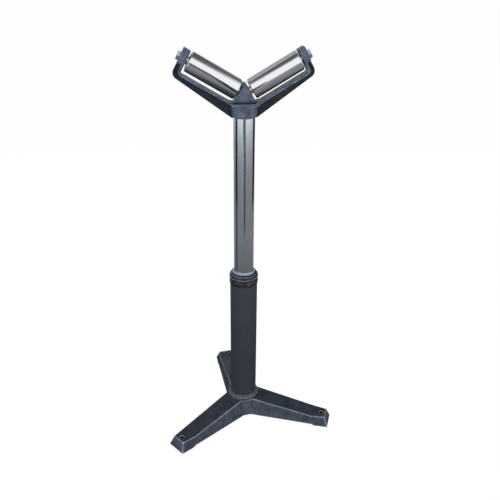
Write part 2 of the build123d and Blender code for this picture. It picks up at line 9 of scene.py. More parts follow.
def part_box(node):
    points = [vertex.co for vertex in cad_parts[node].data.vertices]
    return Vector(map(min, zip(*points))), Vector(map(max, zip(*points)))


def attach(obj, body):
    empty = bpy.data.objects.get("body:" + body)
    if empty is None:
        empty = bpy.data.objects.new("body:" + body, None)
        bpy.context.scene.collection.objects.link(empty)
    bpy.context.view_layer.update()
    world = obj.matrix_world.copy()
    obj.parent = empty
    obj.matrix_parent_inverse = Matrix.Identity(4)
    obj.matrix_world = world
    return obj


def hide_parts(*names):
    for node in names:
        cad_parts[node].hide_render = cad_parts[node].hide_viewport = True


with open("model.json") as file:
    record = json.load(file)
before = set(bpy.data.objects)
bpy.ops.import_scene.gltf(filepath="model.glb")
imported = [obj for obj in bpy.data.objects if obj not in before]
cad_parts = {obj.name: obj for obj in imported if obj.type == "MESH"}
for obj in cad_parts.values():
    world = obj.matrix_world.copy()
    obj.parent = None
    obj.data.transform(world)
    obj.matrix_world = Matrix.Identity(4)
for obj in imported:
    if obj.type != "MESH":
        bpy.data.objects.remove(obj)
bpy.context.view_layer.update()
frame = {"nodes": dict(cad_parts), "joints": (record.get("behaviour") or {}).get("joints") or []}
nodes = frame["nodes"]

# Tripod base. One hollow sand casting in grey iron, sprayed black, whose three feet stand on the
# floor with a bolt hole in each. Its edges are round and its skin is uneven, and the paint is a
# paler grey along the edges, partly from wear and partly as a painted highlight. Sizes are in
# metres here, and in millimetres where it says MM.

CASTING_VOXEL = 0.00145
EASING = 0.4
CORNER_REACH = 1e-6  # Corners of the node's triangles that are nearer than this are one.
SAND_GRAIN_MM = 1.6  # Real moulding sand is about 0.3 mm, too fine to show, so it's drawn coarser.
GRAIN_HEIGHT = 0.0004
PAINT_BLACK = "2d323b"
# Pale edge colour: partly worn paint, partly a painted highlight on the edges.
PAINT_WORN_AND_HIGHLIGHT = "a0a8b4"
CLOUD_DARK, CLOUD_PALE = 0.45, 1.6  # Shares of the paint's colour where it's darkest and palest.
EDGE_WEAR_AND_HIGHLIGHT_WIDTH = 0.075  # The step of Pointiness from sound paint to the pale edge of wear and painted highlight.
EDGE_WEAR_AND_HIGHLIGHT_MOST = 0.9
SPOT_LOW, SPOT_HIGH, SPOT_LEAST = 0.35, 0.62, 0.3  # The mottle that breaks the pale edges up.
NOISE_LOW, NOISE_HIGH = 0.3, 0.7  # Most of a noise pattern's values lie between these.
MIX_FIRST, MIX_SECOND, MIX_RESULT = 6, 7, 2  # The colour sockets of a Mix node.


def linear(code, share=1.0):
    """An sRGB hex value as linear red, green and blue times a share, and full alpha."""
    channels = np.array([int(code[i:i + 2], 16) / 255 for i in (0, 2, 4)])
    low = channels / 12.92
    high = ((channels + 0.055) / 1.055) ** 2.4
    colour = np.where(channels <= 0.04045, low, high) * share
    return (*np.minimum(colour, 1.0).tolist(), 1.0)


def new_material(name):
    """A material, its node tree and its shader."""
    material = bpy.data.materials.new(name)
    material.use_nodes = True
    return material, material.node_tree, material.node_tree.nodes["Principled BSDF"]


def add_node(tree, kind, links=(), stops=(), **settings):
    """Adds one node. Settings name a property or an input's value, links are pairs of an input and
    the socket that feeds it, and stops are a colour ramp's places and colours."""
    node = tree.nodes.new("ShaderNode" + kind)
    for key, value in settings.items():
        if hasattr(node, key):
            setattr(node, key, value)
        else:
            node.inputs[key.replace("_", " ")].default_value = value
    for key, source in links:
        tree.links.new(source, node.inputs[key])
    for _ in stops[2:]:
        node.color_ramp.elements.new(1.0)
    for number, (place, colour) in enumerate(stops):
        node.color_ramp.elements[number].position = place
        node.color_ramp.elements[number].color = colour
    return node


def object_place(tree, grain_mm, tilt=0.0):
    """Object coordinates, turned by tilt about Y and scaled so that one unit of a pattern is
    grain_mm long, or as long along X, Y and Z as its three numbers say."""
    source = add_node(tree, "TexCoord").outputs["Object"]
    if tilt:
        turned = add_node(tree, "Mapping", [("Vector", source)], Rotation=(0, tilt, 0))
        source = turned.outputs["Vector"]
    scale = (1000 / np.array(grain_mm) * np.ones(3)).tolist()
    return add_node(tree, "Mapping", [("Vector", source)], Scale=scale).outputs["Vector"]


def cast_copy(node, name, voxel):
    """A casting's skin in even small faces: its node cut into voxels, laid back on the node's
    surface and eased, which leaves flat faces flat and rounds each edge by about half a voxel."""
    skin_mesh = nodes[node].data.copy()
    merged = bmesh.new()
    merged.from_mesh(skin_mesh)
    bmesh.ops.remove_doubles(merged, verts=merged.verts, dist=CORNER_REACH)
    merged.to_mesh(skin_mesh)
    merged.free()
    guide = bpy.data.objects.new(name + "_guide", skin_mesh)
    piece = bpy.data.objects.new(name, skin_mesh.copy())
    for made in (guide, piece):
        bpy.context.scene.collection.objects.link(made)
    remesh = piece.modifiers.new("even faces", "REMESH")
    remesh.mode = "VOXEL"
    remesh.voxel_size = voxel
    remesh.use_smooth_shade = True
    wrap = piece.modifiers.new("lay back", "SHRINKWRAP")
    wrap.target = guide
    wrap.wrap_method = "NEAREST_SURFACEPOINT"
    soften = piece.modifiers.new("soften", "SMOOTH")
    soften.iterations = 1
    soften.factor = EASING
    depsgraph = bpy.context.evaluated_depsgraph_get()
    final = bpy.data.meshes.new_from_object(piece.evaluated_get(depsgraph))
    piece.modifiers.clear()
    piece.data = final
    bpy.data.objects.remove(guide)
    return piece


def set_back(tree, recess_mm):
    """How much a point belongs to a wall that stands back: the share by which it's nearer to the
    middle plane than recess_mm, over one millimetre, times the share by which it faces along Y."""
    coordinates = add_node(tree, "TexCoord")
    inwards = add_node(tree, "SeparateXYZ", [("Vector", coordinates.outputs["Object"])])
    facing = add_node(tree, "SeparateXYZ", [("Vector", coordinates.outputs["Normal"])])
    depth = add_node(tree, "Math", [(0, inwards.outputs["Y"])], operation="ABSOLUTE")
    turned_out = add_node(tree, "Math", [(0, facing.outputs["Y"])], operation="ABSOLUTE")
    behind = add_node(tree, "MapRange", [("Value", depth.outputs["Value"])],
                      From_Min=(recess_mm + 0.5) / 1000, From_Max=(recess_mm - 0.5) / 1000,
                      To_Max=0.9)
    wall = add_node(tree, "MapRange", [("Value", turned_out.outputs["Value"])],
                    From_Min=0.6, From_Max=0.9)
    both = add_node(tree, "Math", [(0, behind.outputs["Result"]), (1, wall.outputs["Result"])],
                    operation="MULTIPLY")
    return both.outputs["Value"]


def cast_paint(name, dark, worn_and_highlight, grain_mm, relief, roughness, shine, edge_from, recess=None):
    """Sprayed paint on sand-cast iron. The eye gets a cloudy, uneven skin with a soft sheen, paler
    along the edges, partly from wear and partly as a painted highlight. Recess is how far from the
    middle plane, in millimetres, the walls that stand back end, and the colour and shine of the
    painted shade on them."""
    material, tree, shader = new_material(name)
    place = object_place(tree, grain_mm)
    grain = add_node(tree, "TexNoise", [("Vector", place)], Scale=1.0, Detail=4.0, Roughness=0.6)
    mottle = add_node(tree, "TexNoise", [("Vector", place)], Scale=0.45, Detail=3.0, Roughness=0.7)
    blotch = add_node(tree, "TexNoise", [("Vector", place)], Scale=0.08, Detail=3.0)

    pair = add_node(tree, "Math", [(0, blotch.outputs["Fac"]), (1, mottle.outputs["Fac"])],
                    operation="ADD")
    uneven = add_node(tree, "MapRange", [("Value", pair.outputs["Value"])],
                      From_Min=0.7, From_Max=1.3)
    cloud = add_node(tree, "Mix", [("Factor", uneven.outputs["Result"])], data_type="RGBA")
    cloud.inputs[MIX_FIRST].default_value = linear(dark, CLOUD_DARK)
    cloud.inputs[MIX_SECOND].default_value = linear(dark, CLOUD_PALE)
    coat = cloud.outputs[MIX_RESULT]
    shader.inputs["Specular IOR Level"].default_value = shine
    # Painted shade: walls that stand back get a darker colour and a lower shine, for the shade
    # that falls on them.
    if recess:
        recess_mm, recess_shade_colour, recess_shade_shine = recess
        shaded = set_back(tree, recess_mm)
        painted_shade = add_node(tree, "Mix", [("Factor", shaded), (MIX_FIRST, coat)], data_type="RGBA")
        painted_shade.inputs[MIX_SECOND].default_value = linear(recess_shade_colour)
        coat = painted_shade.outputs[MIX_RESULT]
        dull = add_node(tree, "MapRange", [("Value", shaded)], To_Min=shine, To_Max=recess_shade_shine)
        tree.links.new(dull.outputs["Result"], shader.inputs["Specular IOR Level"])

    # Pale edges: partly wear, partly a painted highlight where the edges catch the light.
    edges = add_node(tree, "NewGeometry")
    edge_share = add_node(tree, "MapRange", [("Value", edges.outputs["Pointiness"])],
                          From_Min=edge_from, From_Max=edge_from + EDGE_WEAR_AND_HIGHLIGHT_WIDTH, To_Max=EDGE_WEAR_AND_HIGHLIGHT_MOST)
    spots = add_node(tree, "MapRange", [("Value", mottle.outputs["Fac"])],
                     From_Min=SPOT_LOW, From_Max=SPOT_HIGH, To_Min=SPOT_LEAST)
    patch = add_node(tree, "Math", [(0, edge_share.outputs["Result"]),
                                    (1, spots.outputs["Result"])], operation="MULTIPLY")
    shade = add_node(tree, "Mix", [("Factor", patch.outputs["Value"]), (MIX_FIRST, coat)],
                     data_type="RGBA")
    shade.inputs[MIX_SECOND].default_value = linear(worn_and_highlight)
    tree.links.new(shade.outputs[MIX_RESULT], shader.inputs["Base Color"])

    gloss = add_node(tree, "MapRange", [("Value", blotch.outputs["Fac"])], From_Min=NOISE_LOW,
                     From_Max=NOISE_HIGH, To_Min=roughness - 0.08, To_Max=roughness + 0.1)
    tree.links.new(gloss.outputs["Result"], shader.inputs["Roughness"])
    bump = add_node(tree, "Bump", [("Height", grain.outputs["Fac"])],
                    Strength=relief, Distance=GRAIN_HEIGHT)
    tree.links.new(bump.outputs["Normal"], shader.inputs["Normal"])
    return material


def dress(piece, material, body, slot, *replaced):
    """Gives a piece its material and body, and hides the nodes that it stands for.
    The slot is not used.
    """
    piece.data.materials.clear()
    piece.data.materials.append(material)
    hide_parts(*replaced)
    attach(piece, body)


tripod_paint = cast_paint("black paint on sand-cast iron", PAINT_BLACK, PAINT_WORN_AND_HIGHLIGHT, SAND_GRAIN_MM,
                          relief=0.5, roughness=0.5, shine=0.2, edge_from=0.505)
dress(cast_copy("tripod_base", "tripod_casting", CASTING_VOXEL), tripod_paint,
      "stand", "black_casting", "tripod_base")

# Column. A drawn steel tube, cut to length and sprayed satin black. It stands in the hub's socket,
# held there by two set screws, and a hole in its rear wall lets the clamp's screw through.

COLUMN_WALL = 0.003
TUBE_EDGE = 0.0004
TUBE_STEPS = 160
SHARP_ANGLE = 0.6  # Faces that meet at more than this, in radians, keep a hard edge.
SEAM_REACH = 1e-7  # Points of the grid that are nearer than this are one.
HOLE_STEPS = 48
HOLE_CLEARANCE = 0.0003
ORANGE_PEEL_MM = 2.4
PEEL_HEIGHT = 0.0002
TUBE_BLACK = "22252a"


def rounded(points, radius, steps=5):
    """Closed profile with each corner replaced by a short parabola that leaves its sides at the
    radius, or at 0.45 of the shorter side where that is less."""
    corner = np.array(points, float)
    before = np.roll(corner, 1, axis=0) - corner
    after = np.roll(corner, -1, axis=0) - corner
    side_before = np.linalg.norm(before, axis=1, keepdims=True)
    side_after = np.linalg.norm(after, axis=1, keepdims=True)
    reach = np.minimum(radius, 0.45 * np.minimum(side_before, side_after))
    start = corner + before / side_before * reach
    end = corner + after / side_after * reach
    t = np.linspace(0, 1, steps)[None, :, None]
    curve = ((1 - t) ** 2 * start[:, None] + 2 * t * (1 - t) * corner[:, None]
             + t ** 2 * end[:, None])
    return curve.reshape(-1, 2)


def skin(name, grid):
    """Closed skin from a grid of points (rows round the profile, columns round the axis): each
    face joins a point to its neighbours in the next row and column, the last to the first."""
    rows, columns = grid.shape[:2]
    index = np.arange(rows * columns).reshape(rows, columns)
    beside = np.roll(index, -1, axis=1)
    above = np.roll(index, -1, axis=0)
    across = np.roll(above, -1, axis=1)
    faces = np.stack([index, beside, across, above], axis=-1).reshape(-1, 4)
    mesh = bpy.data.meshes.new(name)
    mesh.from_pydata(grid.reshape(-1, 3).tolist(), [], faces.tolist())
    cleaned = bmesh.new()
    cleaned.from_mesh(mesh)
    bmesh.ops.remove_doubles(cleaned, verts=cleaned.verts, dist=SEAM_REACH)
    bmesh.ops.recalc_face_normals(cleaned, faces=cleaned.faces)
    cleaned.to_mesh(mesh)
    cleaned.free()
    mesh.shade_smooth()
    mesh.set_sharp_from_angle(angle=SHARP_ANGLE)
    piece = bpy.data.objects.new(name, mesh)
    bpy.context.scene.collection.objects.link(piece)
    return piece


def round_axis(profile, steps, base=(0, 0, 0), axis=(0, 0, 1)):
    """Points of a profile (place along the axis, radius) turned about the axis through base: base
    plus place times the axis, plus radius times cosine and sine along two directions across it."""
    direction = np.array(Vector(axis).normalized())
    aside = np.array(Vector(direction).orthogonal().normalized())
    square = np.cross(direction, aside)
    turn = np.linspace(0, 2 * np.pi, steps, endpoint=False)
    ring = np.cos(turn)[:, None] * aside + np.sin(turn)[:, None] * square
    along = profile[:, 0][:, None, None] * direction
    return np.array(base) + along + profile[:, 1][:, None, None] * ring[None]


def tube_profile(start, end, bore, outer):
    """Section of a tube's wall from bore to outer radius, with its four corners broken."""
    return rounded([(start, bore), (start, outer), (end, outer), (end, bore)], TUBE_EDGE)


def drill(piece, centre, radius, reach):
    """Cuts a round hole along Y through the wall of a tube at the given centre."""
    tool = bmesh.new()
    bmesh.ops.create_cone(
        tool, cap_ends=True, segments=HOLE_STEPS, radius1=radius, radius2=radius, depth=reach,
        matrix=Matrix.Translation(centre) @ Matrix.Rotation(np.pi / 2, 4, "X"))
    cutter_mesh = bpy.data.meshes.new("cutter")
    tool.to_mesh(cutter_mesh)
    tool.free()
    cutter = bpy.data.objects.new("cutter", cutter_mesh)
    bpy.context.scene.collection.objects.link(cutter)
    cut = piece.modifiers.new("hole", "BOOLEAN")
    cut.operation = "DIFFERENCE"
    cut.solver = "EXACT"
    cut.object = cutter
    depsgraph = bpy.context.evaluated_depsgraph_get()
    drilled = bpy.data.meshes.new_from_object(piece.evaluated_get(depsgraph))
    piece.modifiers.clear()
    piece.data = drilled
    drilled.shade_smooth()
    drilled.set_sharp_from_angle(angle=SHARP_ANGLE)
    bpy.data.objects.remove(cutter)


def radius_of(node):
    """Half the width along X of a node that is round about Z or Y."""
    low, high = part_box(node)
    return (high.x - low.x) / 2


def sprayed_paint(name, colour, peel_mm, roughness):
    """Sprayed satin paint. The eye gets an even colour, and a faint orange peel that breaks up its
    long soft highlight."""
    material, tree, shader = new_material(name)
    place = object_place(tree, peel_mm)
    peel = add_node(tree, "TexNoise", [("Vector", place)], Scale=1.0, Detail=2.0)
    shader.inputs["Base Color"].default_value = linear(colour)
    gloss = add_node(tree, "MapRange", [("Value", peel.outputs["Fac"])], From_Min=NOISE_LOW,
                     From_Max=NOISE_HIGH, To_Min=roughness - 0.04, To_Max=roughness + 0.04)
    tree.links.new(gloss.outputs["Result"], shader.inputs["Roughness"])
    bump = add_node(tree, "Bump", [("Height", peel.outputs["Fac"])],
                    Strength=0.12, Distance=PEEL_HEIGHT)
    tree.links.new(bump.outputs["Normal"], shader.inputs["Normal"])
    return material


column_low, column_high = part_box("column_tube")
column_radius = radius_of("column_tube")
pad_low, pad_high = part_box("clamp_pad")
# The clamp's screw and pad share an axis along Y, and go through the rear wall here.
hole_centre = ((pad_low.x + pad_high.x) / 2, column_radius, (pad_low.z + pad_high.z) / 2)
tube_black = sprayed_paint("satin black sprayed paint", TUBE_BLACK, ORANGE_PEEL_MM, roughness=0.36)
column_profile = tube_profile(column_low.z, column_high.z, column_radius - COLUMN_WALL,
                              column_radius)
column = skin("column", round_axis(column_profile, TUBE_STEPS))
drill(column, hole_centre, radius_of("clamp_screw") + HOLE_CLEARANCE, column_radius)
dress(column, tube_black, "stand", "black_tube", "column_tube")

# Guide bush. A black nylon collar, turned from bar and pushed into the column's end, with two
# rings for the hand, a wiping lip round the post, and holes for a small screw and for the clamp.

MM = 0.001
BUSH_STEPS = 480
BUSH_FIT = 0.00005
BUSH_EDGE_MM = 0.25
# The outline is pairs of height over the column's end and radius, in millimetres. A ring is its
# start, its height, and the radii of its root and its crown. The screw's recess is in millimetres.
SKIRT = [(0.0, 32.4), (2.2, 32.5)]
LOWER_RING = (2.6, 9.2, 32.3, 33.4)
GROOVE = [(12.4, 31.9), (13.6, 31.9)]
UPPER_RING = (14.2, 9.6, 32.3, 33.4)
SHOULDER = [(24.4, 31.0), (25.2, 30.9)]
SMALL_RING = (25.0, 2.2, 30.2, 30.7)
LIP = [(28.0, 28.0), (29.6, 26.4), (31.4, 25.2), (33.2, 24.5)]
LIP_TOP_RADII = (24.0, 23.4)
LIP_TOP_BEVEL = 0.4
RECESS_RADIUS, RECESS_SLOPE, RECESS_DEPTH = 3.4, 0.6, 1.7
BUSH_BLACK = "16181b"
# Painted highlights: the crests of two rings and the lip are painted a paler grey where light
# catches them.
CREST_HIGHLIGHT_GREY = "4e5661"
LIP_HIGHLIGHT_GREY = "646d7a"
HIGHLIGHT_CRESTS = [(18.6, 19.6), (25.6, 26.8)]
LIP_HIGHLIGHT_FROM = 30.0
HIGHLIGHT_FADE = 0.0007
HIGHLIGHT_BELOW, HIGHLIGHT_ABOVE = 0.002, 0.001  # How far the colour ramp goes past them.
TURNING_MM = 0.9  # A real tool mark is about 0.1 mm, too fine to show, so it's drawn coarser.
TURNING_RUN_MM = 125
TURNING_HEIGHT = 0.0002


def ring_bulge(start, height, root, crown, steps=13):
    """Round ring on the collar: half a sine wave to the power 0.6, from root to crown and back."""
    t = np.linspace(0, 1, steps)
    radius = root + (crown - root) * np.sin(np.pi * t) ** 0.6
    return np.stack([start + height * t, radius], axis=1)


def moulded_plastic(name, colour, turning_mm, roughness, painted_highlights=()):
    """Nylon. The eye gets a low, even sheen, with faint turning lines round its axis. The last
    argument holds the heights from and to and the colour of rings painted paler, as painted
    highlights."""
    material, tree, shader = new_material(name)
    place = object_place(tree, (TURNING_RUN_MM, TURNING_RUN_MM, turning_mm))
    lines = add_node(tree, "TexNoise", [("Vector", place)], Scale=1.0, Detail=2.0)
    shader.inputs["Base Color"].default_value = linear(colour)
    if painted_highlights:
        low, high = painted_highlights[0][0] - HIGHLIGHT_BELOW, painted_highlights[-1][1] + HIGHLIGHT_ABOVE
        coordinates = add_node(tree, "TexCoord")
        height = add_node(tree, "SeparateXYZ", [("Vector", coordinates.outputs["Object"])])
        share = add_node(tree, "MapRange", [("Value", height.outputs["Z"])],
                         From_Min=low, From_Max=high)
        bands = []
        for start, end, pale in painted_highlights:
            bands += [(start - HIGHLIGHT_FADE, colour), (start, pale),
                      (end, pale), (end + HIGHLIGHT_FADE, colour)]
        fade = add_node(tree, "ValToRGB", [("Fac", share.outputs["Result"])],
                        [((z - low) / (high - low), linear(shade)) for z, shade in bands])
        tree.links.new(fade.outputs["Color"], shader.inputs["Base Color"])
    shader.inputs["Roughness"].default_value = roughness
    bump = add_node(tree, "Bump", [("Height", lines.outputs["Fac"])],
                    Strength=0.15, Distance=TURNING_HEIGHT)
    tree.links.new(bump.outputs["Normal"], shader.inputs["Normal"])
    return material


bush_low, bush_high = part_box("guide_bush")
post_radius = radius_of("post_tube")
bush_bore = post_radius + BUSH_FIT
bush_spigot = column_radius - COLUMN_WALL - BUSH_FIT
base_z = column_high.z
lip_top = (bush_high.z - base_z) / MM
collar = np.concatenate([
    SKIRT, ring_bulge(*LOWER_RING), GROOVE, ring_bulge(*UPPER_RING), SHOULDER,
    ring_bulge(*SMALL_RING, steps=7), LIP,
    [(lip_top - LIP_TOP_BEVEL, LIP_TOP_RADII[0]), (lip_top, LIP_TOP_RADII[1])]])
bush_outline = np.concatenate([
    [(bush_low.z, bush_bore), (bush_low.z, bush_spigot), (base_z, bush_spigot)],
    collar * MM + (base_z, 0), [(bush_high.z, bush_bore)]])
bush_grid = round_axis(rounded(bush_outline, BUSH_EDGE_MM * MM, steps=3), BUSH_STEPS)

# The screw's recess is pressed into the lower ring: points on the collar's outside that are within
# its radius of the screw's line move in towards the axis, by its depth or less along its slope.
bush_screw_low, bush_screw_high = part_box("bush_screw")
screw_centre = np.array((bush_screw_low + bush_screw_high) / 2)
outward = np.array([screw_centre[0], screw_centre[1], 0]) / np.hypot(*screw_centre[:2])
from_screw = bush_grid - screw_centre
from_line = np.linalg.norm(from_screw - (from_screw @ outward)[..., None] * outward, axis=-1)
outside = bush_grid @ outward > column_radius * 0.9
pressed = np.clip((RECESS_RADIUS * MM - from_line) / (RECESS_SLOPE * MM), 0, 1)
bush_grid = bush_grid - (pressed * outside * RECESS_DEPTH * MM)[..., None] * outward
bush = skin("bush", bush_grid)
drill(bush, hole_centre, radius_of("clamp_pad") + HOLE_CLEARANCE, column_radius)
# Painted highlights on the crests and on the lip.
highlight_rings = [(base_z + low * MM, base_z + high * MM, CREST_HIGHLIGHT_GREY) for low, high in HIGHLIGHT_CRESTS]
highlight_rings.append((base_z + LIP_HIGHLIGHT_FROM * MM, bush_high.z, LIP_HIGHLIGHT_GREY))
bush_black = moulded_plastic("black nylon, turned", BUSH_BLACK, TURNING_MM, roughness=0.27,
                             painted_highlights=highlight_rings)
dress(bush, bush_black, "stand", "black_plastic", "guide_bush")

# Post. A bright cold-drawn steel tube, oiled, with faint drawing lines along its length. It slides
# and turns in the collar, and the yoke is fixed on its top.

POST_WALL = 0.003
POST_STEEL = "d9e2e9"
STAIN_DARK, STAIN_PALE = 0.86, 1.12
DRAWING_LINE_MM = 0.5  # A real drawing line is about 0.05 mm, so it's drawn coarser to show.
DRAWING_RUN_MM = 500 / 3
DRAWING_HEIGHT = 0.0001


def drawn_steel(name, colour, line_mm, roughness):
    """Cold-drawn tube. The eye gets sharp, long reflections that fine lines along Z blur a little,
    and stains about 70 mm wide where the metal is slightly paler or darker."""
    material, tree, shader = new_material(name)
    place = object_place(tree, (line_mm, line_mm, DRAWING_RUN_MM))
    lines = add_node(tree, "TexNoise", [("Vector", place)], Scale=1.0, Detail=3.0)
    coordinates = add_node(tree, "TexCoord")
    stains = add_node(tree, "TexNoise", [("Vector", coordinates.outputs["Object"])],
                      Scale=14.0, Detail=3.0)
    shader.inputs["Metallic"].default_value = 1.0
    shade = add_node(tree, "Mix", [("Factor", stains.outputs["Fac"])], data_type="RGBA")
    shade.inputs[MIX_FIRST].default_value = linear(colour, STAIN_DARK)
    shade.inputs[MIX_SECOND].default_value = linear(colour, STAIN_PALE)
    tree.links.new(shade.outputs[MIX_RESULT], shader.inputs["Base Color"])
    gloss = add_node(tree, "MapRange", [("Value", lines.outputs["Fac"])], From_Min=NOISE_LOW,
                     From_Max=NOISE_HIGH, To_Min=roughness - 0.05, To_Max=roughness + 0.07)
    tree.links.new(gloss.outputs["Result"], shader.inputs["Roughness"])
    bump = add_node(tree, "Bump", [("Height", lines.outputs["Fac"])],
                    Strength=0.06, Distance=DRAWING_HEIGHT)
    tree.links.new(bump.outputs["Normal"], shader.inputs["Normal"])
    return material


post_low, post_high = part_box("post_tube")
post_profile = tube_profile(post_low.z, post_high.z, post_radius - POST_WALL, post_radius)
post = skin("post", round_axis(post_profile, TUBE_STEPS))
post_steel = drawn_steel("cold-drawn steel tube", POST_STEEL, DRAWING_LINE_MM, roughness=0.14)
dress(post, post_steel, "post", "bright_tube", "post_tube")

# Yoke. A smaller and smoother iron casting in semi-gloss black paint: a socket that a set screw
# holds on the post's top, a wedge between the rollers, and two arms with the axles' ears. The
# arms' webs stand back behind their rails, and the shade under the rails is painted on them as a
# darker colour and a lower shine.

YOKE_VOXEL = 0.0009
YOKE_BLACK = "363d4a"
# Pale edge colour of the yoke: partly wear, partly a painted highlight along the rails.
YOKE_WORN_AND_HIGHLIGHT = "6c737e"
YOKE_GRAIN_MM = 1.2  # Finer sand than the base's, and also drawn coarser than the real grains.
WEB_RECESS_MM = 4.0  # The webs' faces are nearer to the middle plane than this.
# Painted shade on the webs under the rails: a darker colour and a lower shine.
WEB_PAINTED_SHADE = "111316"
WEB_SHADE_SHINE = 0.1

yoke_paint = cast_paint("semi-gloss black paint on cast iron", YOKE_BLACK, YOKE_WORN_AND_HIGHLIGHT,
                        YOKE_GRAIN_MM, relief=0.2, roughness=0.42, shine=0.4, edge_from=0.53,
                        recess=(WEB_RECESS_MM, WEB_PAINTED_SHADE, WEB_SHADE_SHINE))
dress(cast_copy("yoke", "yoke_casting", YOKE_VOXEL), yoke_paint, "post", "black_yoke", "yoke")

# Rollers. Two steel tubes, ground and polished, whose ends are bevelled outside. Each turns on two
# ball bearings round its axle bolt, and fine grinding lines run round it.

ROLLER_RADIUS = 0.021
ROLLER_WALL = 0.00325
ROLLER_LENGTH = 0.11
ROLLER_BEVEL = 0.0012
ROLLER_EDGE = 0.0003
ROLLER_STEEL = "f0f2f4"
GRINDING_LINE_MM = 1.0  # A real grinding line is about 0.02 mm, so it's drawn coarser to show.
GRINDING_RUN_MM = 250 / 3
GRINDING_HEIGHT = 0.0001


def ground_steel(name, colour, line_mm, roughness, tilt=0.0):
    """Ground or turned metal. The eye gets a bright, even colour and sharp reflections, with fine
    lines round an axis that is tilted in the XZ plane."""
    material, tree, shader = new_material(name)
    place = object_place(tree, (line_mm, GRINDING_RUN_MM, GRINDING_RUN_MM), tilt)
    lines = add_node(tree, "TexNoise", [("Vector", place)], Scale=1.0, Detail=3.0)
    shader.inputs["Metallic"].default_value = 1.0
    shader.inputs["Base Color"].default_value = linear(colour)
    gloss = add_node(tree, "MapRange", [("Value", lines.outputs["Fac"])], From_Min=NOISE_LOW,
                     From_Max=NOISE_HIGH, To_Min=roughness - 0.03, To_Max=roughness + 0.05)
    tree.links.new(gloss.outputs["Result"], shader.inputs["Roughness"])
    bump = add_node(tree, "Bump", [("Height", lines.outputs["Fac"])],
                    Strength=0.03, Distance=GRINDING_HEIGHT)
    tree.links.new(bump.outputs["Normal"], shader.inputs["Normal"])
    return material


roller_bore = ROLLER_RADIUS - ROLLER_WALL
roller_profile = rounded([
    (0, roller_bore), (0, ROLLER_RADIUS - ROLLER_BEVEL), (ROLLER_BEVEL, ROLLER_RADIUS),
    (ROLLER_LENGTH - ROLLER_BEVEL, ROLLER_RADIUS), (ROLLER_LENGTH, ROLLER_RADIUS - ROLLER_BEVEL),
    (ROLLER_LENGTH, roller_bore)], ROLLER_EDGE)
joints = {joint["name"]: joint for joint in frame["joints"]}
for side in ("left", "right"):
    spin = joints[side + "_roller_spin"]
    roller_grid = round_axis(roller_profile, TUBE_STEPS, spin["pos_m"], spin["axis"])
    polished = ground_steel(side + " ground and polished steel", ROLLER_STEEL, GRINDING_LINE_MM,
                            roughness=0.1, tilt=np.arctan2(spin["axis"][2], spin["axis"][0]))
    dress(skin(side + "_roller", roller_grid), polished,
          side + "_roller", "polished_roller", side + "_roller_tube")

# Fasteners, the clamp and what is inside, which keep their own solids. Screws, bolts, washers and
# balls are bright, the bearings' rings and the plug are turned steel, the clamp's pad is brass,
# and the ring that slides in the column is nylon.

# Zinc gives a pale metal with soft highlights, turned steel a mid grey one with fine rings, black
# oxide a near black with a dull sheen, and brass a warm yellow. Nylon is milky and soft, and the
# lever's paint is the column's, a little duller. All lines are drawn coarser than the real ones.
ZINC = "e0e3e7"
TURNED_STEEL = "9a9ca0"
BLACK_OXIDE = "2a2c30"
BRASS = "c09a4a"
NYLON = "dedbd2"
TURNED_LINE_MM = 0.6

zinc = ground_steel("bright zinc plate", ZINC, line_mm=1.5, roughness=0.28)
turned_steel = ground_steel("turned steel", TURNED_STEEL, TURNED_LINE_MM, roughness=0.3)
black_oxide = ground_steel("black oxide screw", BLACK_OXIDE, GRINDING_LINE_MM, roughness=0.35)
brass = ground_steel("turned brass", BRASS, TURNED_LINE_MM, roughness=0.25)
nylon = moulded_plastic("white nylon", NYLON, TURNING_MM, roughness=0.5)
lever_paint = sprayed_paint("black lever paint", TUBE_BLACK, ORANGE_PEEL_MM, roughness=0.4)
finish_of = {
    "column_set_screws": black_oxide, "bush_screw": zinc, "yoke_set_screw": black_oxide,
    "clamp_boss": tube_black, "clamp_pad": brass, "clamp_screw": zinc, "clamp_lever": lever_paint,
    "lever_screw": zinc, "foot_plug": turned_steel, "guide_ring": nylon, "foot_washer": zinc,
    "foot_screw": zinc, "axle_bolts": zinc,
}
finish_inside = {
    "bearing_housings": turned_steel, "outer_rings": turned_steel, "inner_rings": turned_steel,
    "balls": zinc, "cages": turned_steel, "shields": zinc, "end_spacers": zinc,
    "spacer_tube": turned_steel,
}
for side in ("left", "right"):
    finish_of.update({side + "_" + name: finish for name, finish in finish_inside.items()})
for name, finish in finish_of.items():
    for slot in nodes[name].material_slots:
        slot.material = finish

# Studio. A white floor, a soft lamp low on each side in front, a small one above and one low
# behind. Grey cards and a graded floor and ceiling, which only reflections show, stand round the
# bright metal, as a photographer sets them.

FLOOR_REACH = 60.0
FLOOR_PAINT = "f4f4f4"
FLOOR_ROUGHNESS = 0.9
FLOOR_GLOW = 1.03
WHITE_SHARE = 0.96  # The glow's share of what is seen of the floor. The rest is its own shading.
SKY_LIGHT = 0.05  # The world's strength as light on the object.
SKY_SEEN = 0.98  # Its strength where it's seen, as in a reflection.
SHADE_COOLNESS = 1.04  # The share by which a graded card's blue is above its red and green.
LAMP_SIZE = (0.9, 0.8)
CARD_BLACK = "030406"
CEILING_Z, PANEL_Z, WALL_TOP_Z = 3.2, 3.19, 3.18


def seen_rays(tree):
    """One for what the camera, metal or glass sees, and zero for the light on the object."""
    path = add_node(tree, "LightPath")
    pair = add_node(tree, "Math", [(0, path.outputs["Is Camera Ray"]),
                                   (1, path.outputs["Is Glossy Ray"])], operation="MAXIMUM")
    every = add_node(tree, "Math", [(0, pair.outputs["Value"]),
                                    (1, path.outputs["Is Transmission Ray"])], operation="MAXIMUM")
    return every.outputs["Value"]


